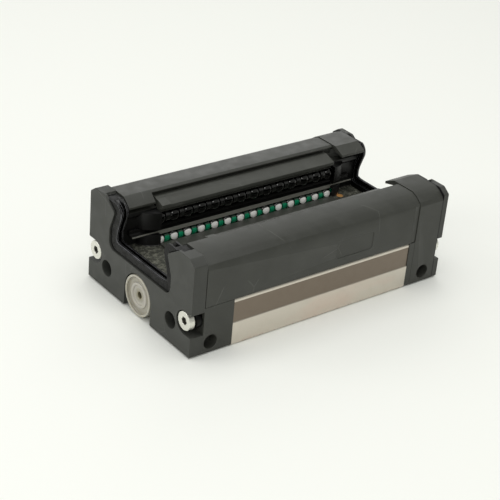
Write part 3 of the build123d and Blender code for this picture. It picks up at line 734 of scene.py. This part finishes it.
def round_spacers(node, balls):
    """Round spacers with dished faces, each set along the line between its two balls."""
    pieces = []
    for centre in solid_centres(node):
        nearest = sorted(balls, key=lambda ball: (ball - centre).length)[:2]
        apart = nearest[1] - nearest[0]
        heading = apart.to_track_quat("X", "Z").to_matrix().to_4x4()
        pieces.append((Matrix.Translation(centre) @ heading, apart.length / MM))
    widest = max(span for place, span in pieces)
    narrowest = min(span for place, span in pieces)
    straight = [place for place, span in pieces if span > widest - TURN_SPAN_STEP]
    turning = [place for place, span in pieces if span <= widest - TURN_SPAN_STEP]
    straight_shape = turned(spacer_profile(widest, SPACER_RADIUS), SPACER_STEPS)
    turning_shape = turned(spacer_profile(narrowest, SPACER_RADIUS - TURN_TRIM), SPACER_STEPS)
    corners, faces = joined([repeated(*straight_shape, straight), repeated(*turning_shape, turning)])
    name = node + "_round"
    piece_from(name, round_mesh(name, corners, faces), SLOTS[node], node)


def blend(start, end, share):
    """The point at a share of the way from one point to another."""
    return tuple((1 - share) * first + share * last for first, last in zip(start, end))


def rounded_line(points):
    """The line with its corners cut again and again until they look round."""
    for _ in range(LIP_CORNER_CUTS):
        line = [points[0]]
        for start, end in zip(points, points[1:]):
            line += [blend(start, end, LIP_CORNER_CUT), blend(start, end, 1 - LIP_CORNER_CUT)]
        points = line + [points[-1]]
    return points


def bead(line, x):
    """Corners and faces of a thin round bead along a line of (across, height), at one place along X."""
    corners = []
    for index, (across, height) in enumerate(line):
        before = line[max(index - 1, 0)]
        after = line[min(index + 1, len(line) - 1)]
        run = math.dist(before, after)
        side = ((before[1] - after[1]) / run, (after[0] - before[0]) / run)
        for step in range(LIP_SIDES):
            angle = 2 * math.pi * step / LIP_SIDES
            out = LIP_RADIUS * math.cos(angle)
            forward = LIP_RADIUS * math.sin(angle)
            corner = (x + forward, across + out * side[0], height + out * side[1])
            corners.append(tuple(part * MM for part in corner))
    last = len(corners) - LIP_SIDES
    faces = [tuple(range(LIP_SIDES)), tuple(reversed(range(last, len(corners))))]
    for here in range(0, last, LIP_SIDES):
        ahead = here + LIP_SIDES
        for step in range(LIP_SIDES):
            following = (step + 1) % LIP_SIDES
            faces.append((here + step, ahead + step, ahead + following, here + following))
    return corners, faces


def lip_edge(name, x):
    """The rounded edge along a wiper lip, a thin bead that rides on the body."""
    mirrored = [(-across, height) for across, height in reversed(LIP_LINE[1:])]
    line = rounded_line([*mirrored, *LIP_LINE])
    piece_from(name, round_mesh(name, *bead(line, x)), "seal_rubber")


def make_floor():
    """Pale floor that reads as the plain background and keeps the soft shadow."""
    mesh = bpy.data.meshes.new("floor")
    half = FLOOR_SIZE / 2
    corners = [(-half, -half, 0), (half, -half, 0), (half, half, 0), (-half, half, 0)]
    mesh.from_pydata(corners, [], [(0, 1, 2, 3)])
    floor = bpy.data.objects.new("floor", mesh)
    bpy.context.scene.collection.objects.link(floor)
    mesh.materials.append(Finish("pale_floor", BACKGROUND, 0.9).material)


def make_light():
    """Soft studio light from large lamps and a pale surround."""
    for name, (place, size, watts) in LAMPS.items():
        data = bpy.data.lights.new(name, "AREA")
        data.shape = "DISK"
        data.size = size * MM
        data.energy = watts
        lamp = bpy.data.objects.new(name, data)
        lamp.location = Vector(place) * MM
        lamp.rotation_euler = (-lamp.location).to_track_quat("-Z", "Y").to_euler()
        bpy.context.scene.collection.objects.link(lamp)
    world = bpy.context.scene.world or bpy.data.worlds.new("world")
    bpy.context.scene.world = world
    world.use_nodes = True
    nodes, links = world.node_tree.nodes, world.node_tree.links
    surround = nodes["Background"]
    surround.inputs["Color"].default_value = linear(BACKGROUND)
    rays = nodes.new("ShaderNodeLightPath")
    level = nodes.new("ShaderNodeMapRange")
    level.inputs["To Min"].default_value = WORLD_LEVEL
    level.inputs["To Max"].default_value = 1.0
    links.new(rays.outputs["Is Camera Ray"], level.inputs["Value"])
    links.new(level.outputs["Result"], surround.inputs["Strength"])


def make_camera():
    """Camera at the photograph's view."""
    azimuth, elevation, roll = (math.radians(a) for a in (CAMERA_AZIMUTH, CAMERA_ELEVATION, CAMERA_ROLL))
    back = Vector((math.sin(azimuth) * math.cos(elevation),
                   -math.cos(azimuth) * math.cos(elevation), math.sin(elevation)))
    level = Vector((0, 0, 1)).cross(back).normalized()
    upright = back.cross(level)
    right = math.cos(roll) * level + math.sin(roll) * upright
    up = -math.sin(roll) * level + math.cos(roll) * upright
    data = bpy.data.cameras.new("camera")
    data.sensor_width = SENSOR_WIDTH
    data.lens = FOCAL_LENGTH
    data.clip_start, data.clip_end = CLIP_RANGE
    camera = bpy.data.objects.new("camera", data)
    turn = Matrix((right, up, back)).transposed().to_4x4()
    place = (Vector(CAMERA_TARGET) + back * CAMERA_DISTANCE) * MM
    camera.matrix_world = Matrix.Translation(place) @ turn
    bpy.context.scene.collection.objects.link(camera)
    bpy.context.scene.camera = camera


make_camera()
make_light()
make_floor()

for node, piece in frame["nodes"].items():
    dress(piece, SLOTS[node])

for node, radius in EDGE_RADII.items():
    softened(node, radius)

for side in ("near", "far"):
    for row in ("lower", "upper"):
        centres = round_balls(f"balls_{side}_{row}")
        round_spacers(f"spacers_{side}_{row}", centres)

lip_edge("front_lip_edge", LIP_FROM_END - HALF_LENGTH)
lip_edge("rear_lip_edge", HALF_LENGTH - LIP_FROM_END)

bpy.context.scene.view_settings.view_transform = "Standard"
